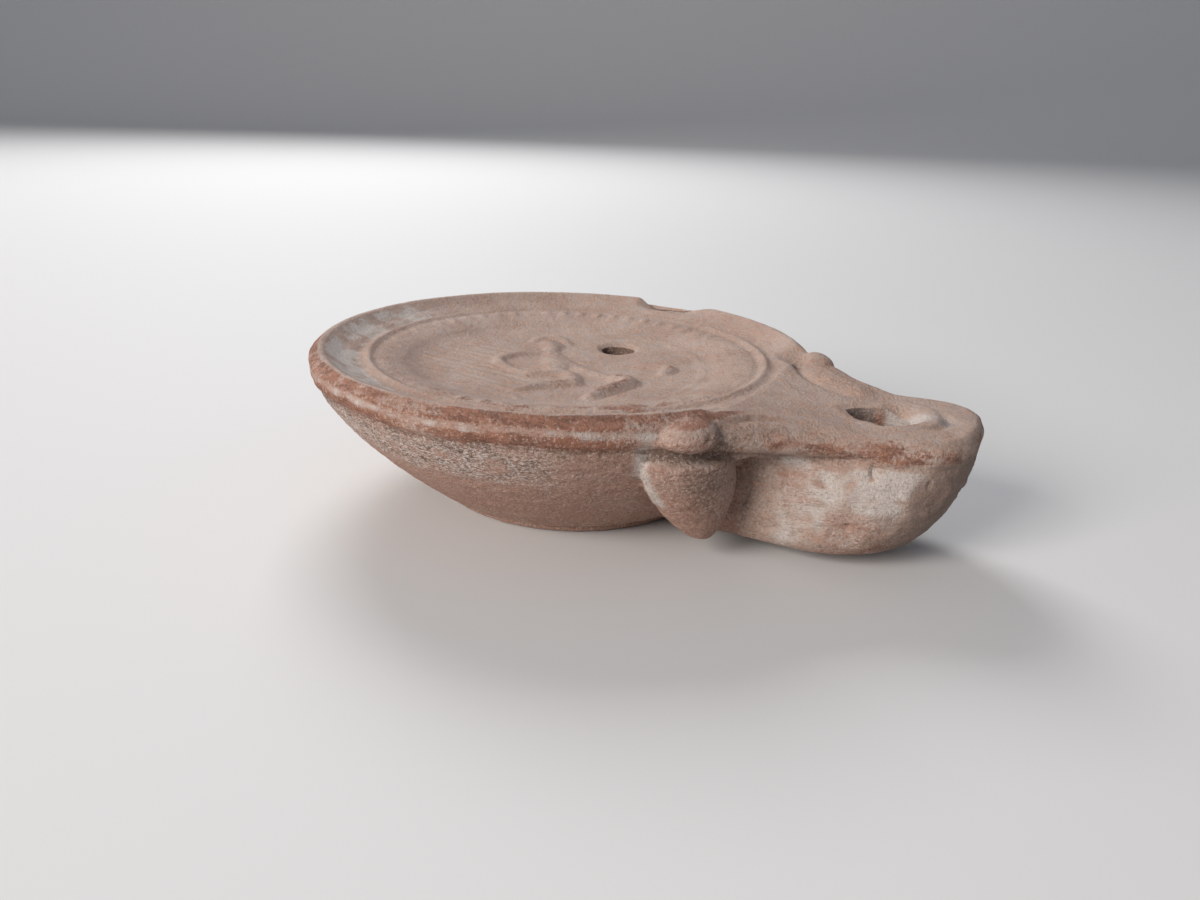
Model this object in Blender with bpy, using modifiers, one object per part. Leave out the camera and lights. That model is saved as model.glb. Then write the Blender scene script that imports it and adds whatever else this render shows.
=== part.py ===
"""Roman oil lamp of fired clay: one hollow, mould-made body with a nozzle, two volutes and a relief disc.

The origin is the centre of the foot's underside. +Z is up, +X runs along the nozzle.
The body's rings lean a little off the foot, as hand-pressed ware does.
"""
import math

import bmesh
import bpy
import numpy as np
from mathutils import Matrix, Vector

# Body, all in metres
CREST_RADIUS = 0.0360
CREST_HEIGHT = 0.0230
BELLY_OVERHANG = 0.0019
BELLY_DROP = 0.0015
FOOT_RADIUS = 0.0190
FOOT_HEIGHT = 0.0009
FOOT_STEP = 0.0005
SIDE_FULLNESS = 1.6
LEAN = Vector((-0.0014, -0.0008, 0.0))
WALL = 0.0033
BODY_STEPS = 64
SIDE_STEPS = 8

# Rings of the upper side, each an inset from the crest and a depth below it
SHOULDER_INSET, SHOULDER_DEPTH = 0.0025, 0.0015
GROOVE_INSET, GROOVE_DEPTH = 0.0048, 0.0021
RIDGE_INSET, RIDGE_DEPTH = 0.0061, 0.0013
BAND_INSET, BAND_DEPTH = 0.0076, 0.0020
FLOOR_INSET, FLOOR_DEPTH = 0.0140, 0.0037
DISC_DEPTH = 0.0047

# Egg band
EGG_PITCH = 0.0030
EGG_LENGTH = 0.0030
EGG_WIDTH = 0.0018
EGG_HEIGHT = 0.0005
EGG_INSET = 0.0091

# Nozzle
NOZZLE_REACH = 0.0592
NOZZLE_HALF_WIDTH = 0.0119
NOZZLE_TOP = CREST_HEIGHT - 0.0034
NOZZLE_LIFT = 0.0016
NOZZLE_ROOT = 0.0180
NOZZLE_ROOT_RAKE = 0.0110
NOZZLE_DRIFT = 0.0026
NOZZLE_BLUNTNESS = 2.6
EDGE_SHARE = 0.78
NOZZLE_ARC_STEPS = 14
WICK_HOLE_LENGTH = 0.0112
WICK_HOLE_WIDTH = 0.0088
WICK_HOLE_SETBACK = 0.0130
FILLING_HOLE_DIAMETER = 0.0062
FILLING_HOLE_PLACE = Vector((0.0006, 0.0135, 0.0))

# Deck between the shoulder and the nozzle, dished between its edges
DECK_START = 0.0305
DECK_HALF_WIDTH = 0.0174
DECK_SKEW = 0.0018
DECK_SINK = 0.0006
DECK_DISH = 0.0012
DECK_BROW = 0.0009
DECK_THICKNESS = 0.0040

# Notch between the crest and the far volute, and the groove that runs on from it
NOTCH_PLACE = Vector((0.0300, 0.0172, 0.0))
NOTCH_SIZE = 0.0034
NOTCH_DEPTH = 0.0019
GROOVE_WIDTH = 0.0020

# Volutes: a knob on the crest at each side of the nozzle, with half axes outwards, along the crest and up
FAR_KNOB = Vector((0.0330, 0.0178, CREST_HEIGHT - 0.0032))
NEAR_KNOB = Vector((0.0279, -0.0233, CREST_HEIGHT - 0.0026))
KNOB_AXES = (0.0029, 0.0042, 0.0023)
KNOB_BEARING = math.radians(38)
RIDGE_THICKNESS = 0.0036

# Keels under the volutes
KEEL_TOP = CREST_HEIGHT - 0.0067
KEEL_TIP = Vector((0.0284, 0.0156, 0.0036))
KEEL_WIDTH = 0.0142
KEEL_DEPTH = 0.0078
KEEL_BEARING = math.radians(34)
KEEL_SETBACK = 0.0021

# Relief figure, in shares of its height
FIGURE_HEIGHT = 0.0290
FIGURE_PLACE = Vector((0.0, -0.0040, 0.0))

# Break in the rim
CHIP_BEARING = math.radians(91)
CHIP_LENGTH = 0.0118
CHIP_DEPTH = 0.0020

CLAY = (0.47, 0.25, 0.16)
MERGE = 0.00001


def clear_scene():
    """Empties the scene of objects."""
    for item in list(bpy.data.objects):
        bpy.data.objects.remove(item, do_unlink=True)


def new_collection(name):
    """A collection of the scene for the lamp or for its guides."""
    collection = bpy.data.collections.new(name)
    bpy.context.scene.collection.children.link(collection)
    return collection


def clay_material():
    """Bare fired clay."""
    material = bpy.data.materials.new("fired_clay")
    material.use_nodes = True
    shader = material.node_tree.nodes["Principled BSDF"]
    shader.inputs["Base Color"].default_value = (*CLAY, 1.0)
    shader.inputs["Roughness"].default_value = 0.85
    shader.inputs["Metallic"].default_value = 0.0
    return material


def guide(name, mesh):
    """An object that shapes the lamp and isn't part of it."""
    item = bpy.data.objects.new(name, mesh)
    item.hide_render = True
    item.display_type = "WIRE"
    bpy.data.collections["guides"].objects.link(item)
    return item


def applied(item):
    """The item's evaluated mesh, welded, in place of the item."""
    depsgraph = bpy.context.evaluated_depsgraph_get()
    mesh = bpy.data.meshes.new_from_object(item.evaluated_get(depsgraph))
    mesh.transform(item.matrix_world)
    bpy.data.objects.remove(item, do_unlink=True)
    edit = bmesh.new()
    edit.from_mesh(mesh)
    bmesh.ops.remove_doubles(edit, verts=edit.verts, dist=MERGE)
    edit.to_mesh(mesh)
    edit.free()
    return mesh


def turned(name, profile, steps):
    """A turned solid from a profile of (radius, height) that runs from top to bottom."""
    mesh = bpy.data.meshes.new(name)
    edges = [(i, i + 1) for i in range(len(profile) - 1)]
    mesh.from_pydata([(r, 0.0, z) for r, z in profile], edges, [])
    item = guide(name, mesh)
    screw = item.modifiers.new("turn", "SCREW")
    screw.steps = screw.render_steps = steps
    screw.use_merge_vertices = True
    screw.merge_threshold = MERGE
    bpy.context.view_layer.update()
    return applied(item)


def loft(name, rings):
    """A closed solid through rings with equal numbers of points."""
    edit = bmesh.new()
    rows = [[edit.verts.new(point) for point in ring] for ring in rings]
    count = len(rows[0])
    for low, high in zip(rows, rows[1:]):
        for i in range(count):
            j = (i + 1) % count
            edit.faces.new((low[i], low[j], high[j], high[i]))
    edit.faces.new(list(reversed(rows[0])))
    edit.faces.new(rows[-1])
    bmesh.ops.recalc_face_normals(edit, faces=edit.faces)
    mesh = bpy.data.meshes.new(name)
    edit.to_mesh(mesh)
    edit.free()
    return mesh


def tube(name, path, sides=2):
    """A solid tube through points of (x, y, z, radius)."""
    curve = bpy.data.curves.new(name, "CURVE")
    curve.dimensions = "3D"
    curve.bevel_depth = 1.0
    curve.bevel_resolution = sides
    curve.use_fill_caps = True
    spline = curve.splines.new("POLY")
    spline.points.add(len(path) - 1)
    for point, (x, y, z, radius) in zip(spline.points, path):
        point.co = (x, y, z, 1.0)
        point.radius = radius
    item = guide(name, curve)
    bpy.context.view_layer.update()
    return applied(item)


def smooth_path(points, count):
    """A Catmull-Rom run of count points through the given (x, y, z, radius) points."""
    given = np.array(points)
    padded = np.vstack([2 * given[0] - given[1], given, 2 * given[-1] - given[-2]])
    spans = len(given) - 1
    run = []
    for step in np.linspace(0.0, spans, count):
        i = min(int(step), spans - 1)
        t = step - i
        a, b, c, d = padded[i:i + 4]
        run.append(0.5 * (2 * b + (c - a) * t + (2 * a - 5 * b + 4 * c - d) * t * t
                          + (3 * b - a - 3 * c + d) * t ** 3))
    return run


def ease(value):
    """A smooth step from 0 to 1."""
    value = min(max(value, 0.0), 1.0)
    return value * value * (3.0 - 2.0 * value)


def belly():
    """Radius and height of the body's widest ring."""
    return CREST_RADIUS + BELLY_OVERHANG, CREST_HEIGHT - BELLY_DROP


def side_radius(z):
    """Radius of the outer wall at a height."""
    widest, height = belly()
    foot = FOOT_RADIUS + FOOT_STEP
    return widest - (widest - foot) * (1.0 - z / height) ** SIDE_FULLNESS


def ring(inset, depth):
    """A point of the upper profile."""
    return CREST_RADIUS - inset, CREST_HEIGHT - depth


def disc_profile():
    """The disc's concave floor, from its middle to its edge."""
    radius, height = ring(FLOOR_INSET, FLOOR_DEPTH)
    middle = CREST_HEIGHT - DISC_DEPTH
    return [(radius * share, middle + (height - middle) * share ** 2) for share in (0.0, 0.35, 0.7, 1.0)]


def body_profile():
    """The outer profile from the middle of the disc over the crest to the middle of the foot."""
    widest, height = belly()
    top = disc_profile() + [ring(BAND_INSET, BAND_DEPTH), ring(RIDGE_INSET, RIDGE_DEPTH),
                            ring(GROOVE_INSET, GROOVE_DEPTH), ring(SHOULDER_INSET, SHOULDER_DEPTH),
                            ring(0.0, 0.0), ring(-BELLY_OVERHANG * 0.7, BELLY_DROP * 0.35)]
    levels = [height + (FOOT_HEIGHT - height) * i / SIDE_STEPS for i in range(SIDE_STEPS + 1)]
    side = [(side_radius(z), z) for z in levels]
    foot = [(FOOT_RADIUS, FOOT_HEIGHT), (FOOT_RADIUS - FOOT_STEP, 0.0), (0.0, 0.0)]
    return top + side + foot


def cavity_profile():
    """The oil chamber, a wall's thickness inside the outer profile."""
    roof = [(r, z - WALL) for r, z in disc_profile()]
    ridge_radius, ridge_height = ring(RIDGE_INSET, RIDGE_DEPTH)
    shoulder_height = ridge_height - 1.2 * WALL
    levels = [shoulder_height - WALL * 0.6 + (2.2 * WALL - shoulder_height) * i / 5 for i in range(6)]
    side = [(side_radius(z) - 1.1 * WALL, z) for z in levels]
    floor = [(FOOT_RADIUS - WALL, 1.15 * WALL), (0.0, 1.1 * WALL)]
    return roof + [(ridge_radius, shoulder_height)] + side + floor


def deck_share(x):
    """How far along the deck a place is, from 0 at the shoulder to 1 at the wick hole."""
    return min(max((x - DECK_START) / (NOZZLE_REACH - WICK_HOLE_SETBACK - DECK_START), 0.0), 1.0)


def deck_half(x):
    """Half width of the deck, whose flanks curve in from the crest to the nozzle's edge."""
    edge = NOZZLE_HALF_WIDTH * EDGE_SHARE
    return edge + (DECK_HALF_WIDTH - edge) * (1.0 - deck_share(x)) ** 2


def deck_middle(x):
    """How far the deck's middle lies towards the near side."""
    return -DECK_SKEW * (1.0 - deck_share(x)) ** 2


def deck_height(x, y):
    """Height of the dished deck that runs from the shoulder out over the nozzle."""
    start = CREST_HEIGHT - DECK_SINK
    share = deck_share(x)
    across = min(abs(y - deck_middle(x)) / deck_half(x), 1.0)
    dish = DECK_DISH * (1.0 - across ** 2) * (1.0 - 0.8 * share)
    away = math.hypot(x - NOTCH_PLACE.x, y - NOTCH_PLACE.y) / NOTCH_SIZE
    return start + (NOZZLE_TOP - start) * share ** 0.8 - dish - NOTCH_DEPTH * math.exp(-away ** 2)


def settled(mesh):
    """Lowers the crest to the deck where the nozzle joins, and leans the body off its foot."""
    groove = ring(GROOVE_INSET, GROOVE_DEPTH)[0]
    for vertex in mesh.vertices:
        x, y, z = vertex.co
        if math.hypot(x, y) > groove + MERGE and z > CREST_HEIGHT - 2.0 * SHOULDER_DEPTH and x > 0.0:
            level = min(z, deck_height(x, y))
            outside = abs(y - deck_middle(x)) - DECK_HALF_WIDTH - NOTCH_SIZE / 2 * (y > 0.0)
            share = ease(0.5 - outside / RIDGE_THICKNESS)
            vertex.co.z = z + (level - z) * share
    mesh.transform(Matrix.Shear("XY", 4, (LEAN.x / CREST_HEIGHT, LEAN.y / CREST_HEIGHT)))
    return mesh


def drift(x):
    """How far the nozzle's tip has veered to the far side at a place along it."""
    start = NOZZLE_REACH - 1.4 * WICK_HOLE_SETBACK
    return NOZZLE_DRIFT * ease((x - start) / (NOZZLE_REACH - start))


def nozzle_ring(z, half_width, tip, root, length):
    """One level of the nozzle: straight sides and a blunt round end of the given length."""
    points = [(root, half_width, z)]
    for i in range(NOZZLE_ARC_STEPS + 1):
        angle = math.pi / 2 - math.pi * i / NOZZLE_ARC_STEPS
        along = abs(math.cos(angle)) ** (2 / NOZZLE_BLUNTNESS)
        across = math.copysign(abs(math.sin(angle)) ** (2 / NOZZLE_BLUNTNESS), math.sin(angle))
        points.append((tip - length + length * along, half_width * across, z))
    points.append((root, -half_width, z))
    return [(x, y + drift(x), height) for x, y, height in points]


def nozzle(name, inset):
    """The nozzle's outside, or with an inset the channel inside it, as a loft from bottom to top."""
    shape = ((0.00, 0.72, 0.0100, 0.0170), (0.05, 0.86, 0.0076, 0.0165), (0.16, 0.95, 0.0048, 0.0150),
             (0.35, 1.00, 0.0024, 0.0135), (0.58, 1.00, 0.0008, 0.0120), (0.80, 0.95, 0.0000, 0.0112),
             (0.93, 0.92, 0.0003, 0.0108), (1.00, 0.82, 0.0015, 0.0102))
    low = NOZZLE_LIFT + inset
    high = NOZZLE_TOP - inset
    rings = []
    for level, width, back, length in shape:
        half_width = NOZZLE_HALF_WIDTH * width - inset * min(width + 0.3, 1.0)
        root = NOZZLE_ROOT + NOZZLE_ROOT_RAKE * level
        tip = NOZZLE_REACH - back - inset
        rings.append(nozzle_ring(low + (high - low) * level, half_width, tip, root, length))
    return loft(name, rings)


def ridge_path(knob):
    """The line of a volute's ridge as (x, y, z, radius), from its knob to its end on the nozzle's edge."""
    side = math.copysign(1.0, knob.y)
    thick = RIDGE_THICKNESS / 2
    edge = NOZZLE_HALF_WIDTH * EDGE_SHARE
    meet_x = NOZZLE_REACH - 1.35 * WICK_HOLE_SETBACK
    end_x = NOZZLE_REACH - 0.55 * WICK_HOLE_SETBACK
    height = NOZZLE_TOP - thick
    start = Vector((knob.x, knob.y, height + 0.2 * thick))
    meet = Vector((meet_x, side * (edge + 0.1 * thick), height))
    bend = start.lerp(meet, 0.5) - Vector((0.0, side * 0.6 * thick, 0.0))
    end = Vector((end_x, side * 0.9 * edge + drift(end_x), height - 0.2 * thick))
    return smooth_path([(*start, 1.3 * thick), (*bend, 1.1 * thick), (*meet, thick), (*end, 0.6 * thick)], 12)


def deck():
    """The plate that carries the shoulder's surface out to the nozzle between the volutes."""
    low = NOZZLE_TOP - DECK_THICKNESS
    end = NOZZLE_REACH - WICK_HOLE_SETBACK
    rows = []
    for i in range(7):
        x = DECK_START + (end - DECK_START) * i / 6
        near, far = deck_middle(x) - deck_half(x), deck_middle(x) + deck_half(x)
        across = [far + (near - far) * share for share in (0.03, 0.2, 0.5, 0.8, 0.97)]
        brow = deck_height(x, far) - DECK_BROW
        rows.append([(x, near, low), (x, far, low), (x, far, brow)]
                    + [(x, y, deck_height(x, y)) for y in across] + [(x, near, brow)])
    return loft("deck", rows)


def ridge(knob):
    """A volute's ridge, which runs in from its knob along the nozzle's edge."""
    return tube("ridge", ridge_path(knob), 3)


def knob_boss(knob):
    """A rounded knob at the outer end of a volute."""
    turn = Matrix.Rotation(math.copysign(KNOB_BEARING, knob.y), 4, "Z")
    edit = bmesh.new()
    bmesh.ops.create_uvsphere(edit, u_segments=20, v_segments=12, radius=1.0,
                              matrix=Matrix.Translation(knob) @ turn @ Matrix.Diagonal((*KNOB_AXES, 1.0)))
    mesh = bpy.data.meshes.new("knob")
    edit.to_mesh(mesh)
    edit.free()
    return mesh


def groove():
    """A cutter along the inside of the far volute, from the notch towards the wick hole."""
    inner = FAR_KNOB.y - 2.0 * KNOB_AXES[1]
    level = NOZZLE_TOP + 0.4 * GROOVE_WIDTH
    points = [(NOTCH_PLACE.x, NOTCH_PLACE.y, level + 0.9 * GROOVE_WIDTH),
              (FAR_KNOB.x - 0.1 * KNOB_AXES[0], inner + 0.5 * KNOB_AXES[0], level + 0.35 * GROOVE_WIDTH),
              (FAR_KNOB.x + 0.9 * KNOB_AXES[0], 0.8 * inner, level),
              (NOZZLE_REACH - 1.5 * WICK_HOLE_SETBACK, 0.66 * inner, level + 0.1 * GROOVE_WIDTH)]
    return tube("groove", smooth_path([(*point, GROOVE_WIDTH / 2) for point in points], 10), 3)


def keel(knob):
    """The keel that hangs under a knob, lipped at its top, and tapers to a rounded point near the foot."""
    side = math.copysign(1.0, knob.y)
    out = Vector((math.cos(KEEL_BEARING), side * math.sin(KEEL_BEARING), 0.0))
    along = Vector((-out.y, out.x, 0.0))
    top = Vector((knob.x, knob.y, KEEL_TOP)) - out * KEEL_SETBACK
    tip = Vector((KEEL_TIP.x, side * KEEL_TIP.y, KEEL_TIP.z))
    shape = ((-0.24, 0.80, 0.48), (-0.05, 0.88, 0.66), (0.0, 0.95, 0.96), (0.1, 0.98, 1.02),
             (0.25, 1.0, 1.03), (0.42, 0.92, 0.96), (0.6, 0.76, 0.85), (0.78, 0.56, 0.71),
             (0.92, 0.36, 0.54), (1.0, 0.12, 0.28))
    rows = []
    for drop, width, depth in shape:
        centre = top + (tip - top) * drop
        corners = [math.tau * i / 16 for i in range(16)]
        rows.append([centre + along * (math.cos(a) * KEEL_WIDTH / 2 * width)
                     + out * (math.sin(a) * KEEL_DEPTH / 2 * depth) for a in corners])
    return loft("keel", rows)


def disc_height(x, y):
    """Height of the upper side at a place inside the ridge."""
    radius = math.hypot(x - LEAN.x, y - LEAN.y)
    profile = disc_profile() + [ring(BAND_INSET, BAND_DEPTH)]
    return float(np.interp(radius, [r for r, z in profile], [z for r, z in profile]))


def limb(points):
    """A rounded limb of the relief through (x, y, radius) shares, half sunk in the disc."""
    path = []
    for x, y, radius in smooth_path(points, 2 * len(points) - 1):
        place = FIGURE_PLACE + Vector((x, y, 0.0)) * FIGURE_HEIGHT
        path.append((place.x, place.y, disc_height(place.x, place.y), radius * FIGURE_HEIGHT))
    return tube("limb", path, 1)


def figure():
    """A striding figure with a cloak flying behind: head, trunk, legs, arms and folds."""
    limbs = [
        [(-0.36, 0.45, 0.030), (-0.32, 0.46, 0.042), (-0.25, 0.42, 0.032)],
        [(-0.33, 0.43, 0.050), (-0.30, 0.38, 0.070), (-0.27, 0.33, 0.050)],
        [(-0.27, 0.32, 0.045), (-0.22, 0.24, 0.062), (-0.15, 0.15, 0.075), (-0.09, 0.08, 0.078)],
        [(-0.15, 0.21, 0.040), (-0.05, 0.12, 0.048), (0.04, 0.01, 0.052), (0.12, -0.06, 0.048)],
        [(-0.16, 0.03, 0.040), (-0.05, 0.00, 0.048), (0.06, -0.04, 0.052), (0.15, -0.10, 0.054)],
        [(0.17, -0.14, 0.052), (0.14, -0.25, 0.046), (0.04, -0.48, 0.028)],
        [(0.05, 0.02, 0.046), (0.20, -0.01, 0.056), (0.33, -0.01, 0.056), (0.42, -0.02, 0.056)],
        [(0.42, 0.00, 0.058), (0.40, -0.20, 0.046), (0.37, -0.43, 0.030)],
        [(-0.26, 0.32, 0.034), (-0.42, 0.24, 0.036), (-0.44, 0.12, 0.038), (-0.40, 0.05, 0.034),
         (-0.31, 0.02, 0.030), (-0.08, -0.01, 0.030)],
        [(-0.19, 0.28, 0.036), (0.08, 0.26, 0.030), (0.34, 0.24, 0.028)],
        [(0.34, 0.25, 0.036), (0.44, 0.24, 0.050), (0.51, 0.20, 0.040), (0.50, 0.15, 0.030)],
    ]
    for row in range(5):
        left, level = -0.74 + 0.03 * row, 0.02 - 0.10 * row
        limbs.append([(left, level + 0.04, 0.018), (left + 0.16, level, 0.022),
                      (left + 0.34, level - 0.02, 0.018)])
    return [limb(points) for points in limbs]


def eggs():
    """The band of eggs round the disc, as one mesh of separate domes."""
    radius = CREST_RADIUS - EGG_INSET
    count = round(math.tau * radius / EGG_PITCH)
    base = float(np.interp(radius, [ring(FLOOR_INSET, 0)[0], ring(BAND_INSET, 0)[0]],
                           [ring(0, FLOOR_DEPTH)[1], ring(0, BAND_DEPTH)[1]]))
    slope = math.atan2(FLOOR_DEPTH - BAND_DEPTH, FLOOR_INSET - BAND_INSET)
    edit = bmesh.new()
    for i in range(count):
        size = Matrix.Diagonal((EGG_LENGTH / 2, EGG_WIDTH / 2, EGG_HEIGHT, 1.0))
        tilt = Matrix.Rotation(-slope, 4, "Y")
        place = Matrix.Rotation(math.tau * i / count, 4, "Z") @ Matrix.Translation((radius, 0.0, base))
        bmesh.ops.create_uvsphere(edit, u_segments=6, v_segments=4, radius=1.0, matrix=place @ tilt @ size)
    mesh = bpy.data.meshes.new("eggs")
    edit.to_mesh(mesh)
    edit.free()
    mesh.transform(Matrix.Translation(LEAN))
    return mesh


def filling_hole():
    """A round cutter through the disc."""
    edit = bmesh.new()
    place = Matrix.Translation(FILLING_HOLE_PLACE + Vector((0.0, 0.0, CREST_HEIGHT - DISC_DEPTH)))
    bmesh.ops.create_cone(edit, cap_ends=True, segments=24, radius1=FILLING_HOLE_DIAMETER / 2,
                          radius2=FILLING_HOLE_DIAMETER / 2, depth=4.0 * WALL, matrix=place)
    mesh = bpy.data.meshes.new("filling_hole")
    edit.to_mesh(mesh)
    edit.free()
    return mesh


def wick_hole():
    """A cutter through the nozzle's top, round at the tip end and pointed towards the body."""
    centre = NOZZLE_REACH - WICK_HOLE_SETBACK
    outline = []
    for i in range(24):
        angle = math.tau * i / 24
        taper = 1.0 - 0.28 * ease(-math.cos(angle)) * abs(math.sin(angle))
        outline.append((centre + WICK_HOLE_LENGTH / 2 * math.cos(angle),
                        WICK_HOLE_WIDTH / 2 * math.sin(angle) * taper))
    levels = (NOZZLE_TOP - 2.0 * WALL, NOZZLE_TOP + WALL)
    return loft("wick_hole", [[(x, y, z) for x, y in outline] for z in levels])


def chip():
    """A cutter that breaks a bite out of the rim's crest."""
    radius = CREST_RADIUS + BELLY_OVERHANG
    low = CREST_HEIGHT - CHIP_DEPTH
    above = CREST_HEIGHT + CHIP_DEPTH
    rows = []
    for share, reach in ((-1.0, 0.2), (-0.6, 0.8), (0.0, 1.0), (0.6, 0.9), (1.0, 0.25)):
        turn = CHIP_BEARING + share * CHIP_LENGTH / 2 / CREST_RADIUS
        out = Vector((math.cos(turn), math.sin(turn), 0.0))
        inner = out * (radius - (BELLY_OVERHANG + 2.2 * CHIP_DEPTH) * reach) + LEAN
        outer = out * (radius + CHIP_DEPTH) + LEAN
        rise = (1.0 - reach) * CHIP_DEPTH
        rows.append([(inner.x, inner.y, low + 0.3 * CHIP_DEPTH + rise),
                     (outer.x, outer.y, low - CHIP_DEPTH + rise),
                     (outer.x, outer.y, above), (inner.x, inner.y, above)])
    return loft("chip", rows)


def combine(lamp, mesh, operation, touching=False):
    """Adds a Boolean of the lamp with a guide of the given mesh, whose faces may lie on the lamp's own."""
    modifier = lamp.modifiers.new(mesh.name, "BOOLEAN")
    modifier.operation = operation
    modifier.solver = "EXACT"
    modifier.use_self = touching
    modifier.object = guide(mesh.name, mesh)


def build():
    """Makes the lamp."""
    clear_scene()
    home = new_collection("roman_oil_lamp")
    new_collection("guides")
    lamp = bpy.data.objects.new("oil_lamp", settled(turned("body", body_profile(), BODY_STEPS)))
    home.objects.link(lamp)
    lamp.data.materials.append(clay_material())
    forms = [nozzle("nozzle", 0.0), deck()]
    for knob in (FAR_KNOB, NEAR_KNOB):
        forms += [keel(knob), ridge(knob), knob_boss(knob)]
    for mesh in forms:
        combine(lamp, mesh, "UNION", touching=True)
    for mesh in figure() + [eggs()]:
        combine(lamp, mesh, "UNION")
    cavity = turned("cavity", cavity_profile(), BODY_STEPS // 2)
    cavity.transform(Matrix.Shear("XY", 4, (LEAN.x / CREST_HEIGHT, LEAN.y / CREST_HEIGHT)))
    for mesh in (cavity, nozzle("channel", WALL), filling_hole(), wick_hole(), groove(), chip()):
        combine(lamp, mesh, "DIFFERENCE")
    lamp.data.shade_smooth()


build()
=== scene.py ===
"""Finished surface of a Roman oil lamp of fired clay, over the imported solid.

The lamp is sculpted in millimetres in the frame of the solid: +X runs along the nozzle, +Z is up and the
origin is the centre of the foot's underside. It is scaled to metres once it is whole.
"""
import math

import bmesh
import bpy
import numpy as np
from mathutils import Matrix, Vector


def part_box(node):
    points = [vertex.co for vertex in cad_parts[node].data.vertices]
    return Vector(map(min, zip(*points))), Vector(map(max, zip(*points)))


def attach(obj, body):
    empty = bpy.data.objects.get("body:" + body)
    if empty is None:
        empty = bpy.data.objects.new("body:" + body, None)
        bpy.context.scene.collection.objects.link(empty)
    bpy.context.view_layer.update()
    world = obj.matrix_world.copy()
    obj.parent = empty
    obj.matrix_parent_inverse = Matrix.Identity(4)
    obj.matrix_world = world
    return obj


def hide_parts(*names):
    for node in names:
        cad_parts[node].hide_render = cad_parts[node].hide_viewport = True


MM = 0.001

# Body, in millimetres
CREST_HEIGHT = 23.0
BELLY_RADIUS = 37.9
BELLY_HEIGHT = 21.5
FOOT_RADIUS = 19.5
FOOT_HEIGHT = 0.9
SIDE_FULLNESS = 1.6
LEAN = np.array([-1.4, -0.8])
WALL = 3.3
DISC_HEIGHT = 18.3
SHOULDER_DROP = 3.0
TOP_PROFILE = ((0.0, 18.30), (4.0, 18.34), (8.0, 18.45), (15.0, 18.88), (19.0, 19.12), (21.2, 19.32),
               (22.6, 19.58), (24.0, 20.08), (26.0, 20.68), (28.4, 21.02), (30.0, 21.10), (31.5, 21.15),
               (33.2, 21.45), (34.6, 22.20), (35.5, 22.82), (36.0, 23.00), (36.4, 22.95), (37.1, 22.40),
               (37.7, 21.85))
CENTRE_RADIUS = 0.05
CHAMBER_ROOF = ((CENTRE_RADIUS, DISC_HEIGHT), (8.0, 18.42), (15.0, 18.8), (22.0, 19.3))
NOZZLE_JOIN = 34.0

# Rings of the upper side
RING_CENTRE = np.array([-0.92, -0.53])
RIDGE_RADIUS = 29.9
GROOVE_RADIUS = 31.35
EGG_CENTRE = np.array([-1.6, -0.9])
EGG_RADIUS = 27.0
EGG_PITCH = 3.0
FLOOR_CENTRE = np.array([-2.8, -1.6])
FLOOR_RADIUS = 22.8

# Nozzle
NOZZLE_REACH = 59.2
NOZZLE_HALF_WIDTH = 11.9
NOZZLE_TOP = 19.6
NOZZLE_LIFT = 1.6
NOZZLE_ROOT = 18.0
NOZZLE_ROOT_RAKE = 11.0
NOZZLE_DRIFT = 2.6
NOZZLE_BLUNTNESS = 2.9
EDGE_SHARE = 0.82
# (share of the height, share of the half width, setback of the tip, length of the round end), upwards
NOZZLE_LEVELS = ((0.00, 0.72, 10.0, 17.0), (0.05, 0.86, 7.6, 16.5), (0.16, 0.95, 4.8, 15.0),
                 (0.35, 1.00, 2.4, 13.5), (0.58, 1.00, 0.8, 12.0), (0.80, 0.945, 0.1, 11.2),
                 (0.84, 0.955, 0.0, 11.0), (0.93, 0.94, 0.2, 10.8), (0.975, 0.915, 0.5, 10.6),
                 (1.00, 0.86, 1.1, 10.3))
WICK_HOLE = ((41.9, -0.2), (43.2, -2.2), (45.0, -3.4), (47.0, -2.6), (49.0, -0.9), (50.2, 1.2), (50.0, 3.2),
             (48.6, 4.2), (46.6, 4.1), (43.8, 2.6))
WICK_HOLE_POINTS = 120
WICK_HOLE_SETBACK = 13.0
FILLING_HOLE_DIAMETER = 5.2
FILLING_HOLE_PLACE = np.array([0.6, 13.5])

# Deck between the shoulder and the nozzle
DECK_START = 30.5
DECK_HALF_WIDTH = 17.4
DECK_SKEW = 1.8
DECK_SINK = 0.6
DECK_DISH = 1.2
DECK_BROW = 0.9
DECK_THICKNESS = 4.0

# Notch between the crest and the far volute
NOTCH_PLACE = np.array([30.2, 17.0])
NOTCH_SIZE = 3.4
NOTCH_DEPTH = 1.9
NOTCH_SPREAD = 3.2

# Volutes and keels, far side first. A ridge is a run of (x, y, z, radius) that starts at its knob
FAR_KNOB = np.array([32.6, 17.5, 19.9])
NEAR_KNOB = np.array([28.6, -23.3, 20.2])
FAR_AXES = (2.9, 3.8, 2.2)
NEAR_AXES = (3.4, 4.0, 2.2)
FAR_RIDGE = ((32.8, 17.2, 19.3, 1.7), (35.6, 15.6, 18.9, 2.0), (39.2, 12.7, 18.5, 2.0),
             (43.0, 10.4, 18.4, 1.9), (48.6, 10.4, 17.7, 1.5), (53.4, 10.6, 17.2, 1.0))
NEAR_RIDGE = ((28.6, -22.4, 19.2, 1.5), (32.0, -19.0, 19.1, 1.9), (36.4, -14.3, 18.7, 2.0),
              (41.4, -10.7, 18.0, 1.9), (47.6, -8.9, 17.7, 1.7), (52.6, -7.2, 17.3, 1.1))
RIDGE_THICKNESS = 3.8
KEEL_TOP = 16.3
KEEL_TIP = np.array([28.4, 15.6, 3.6])
KEEL_WIDTH = 13.6
KEEL_DEPTH = 7.8
KEEL_BEARING = math.radians(34)
KEEL_SETBACK = 1.9
KEEL_SHIFT = 1.5
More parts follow.
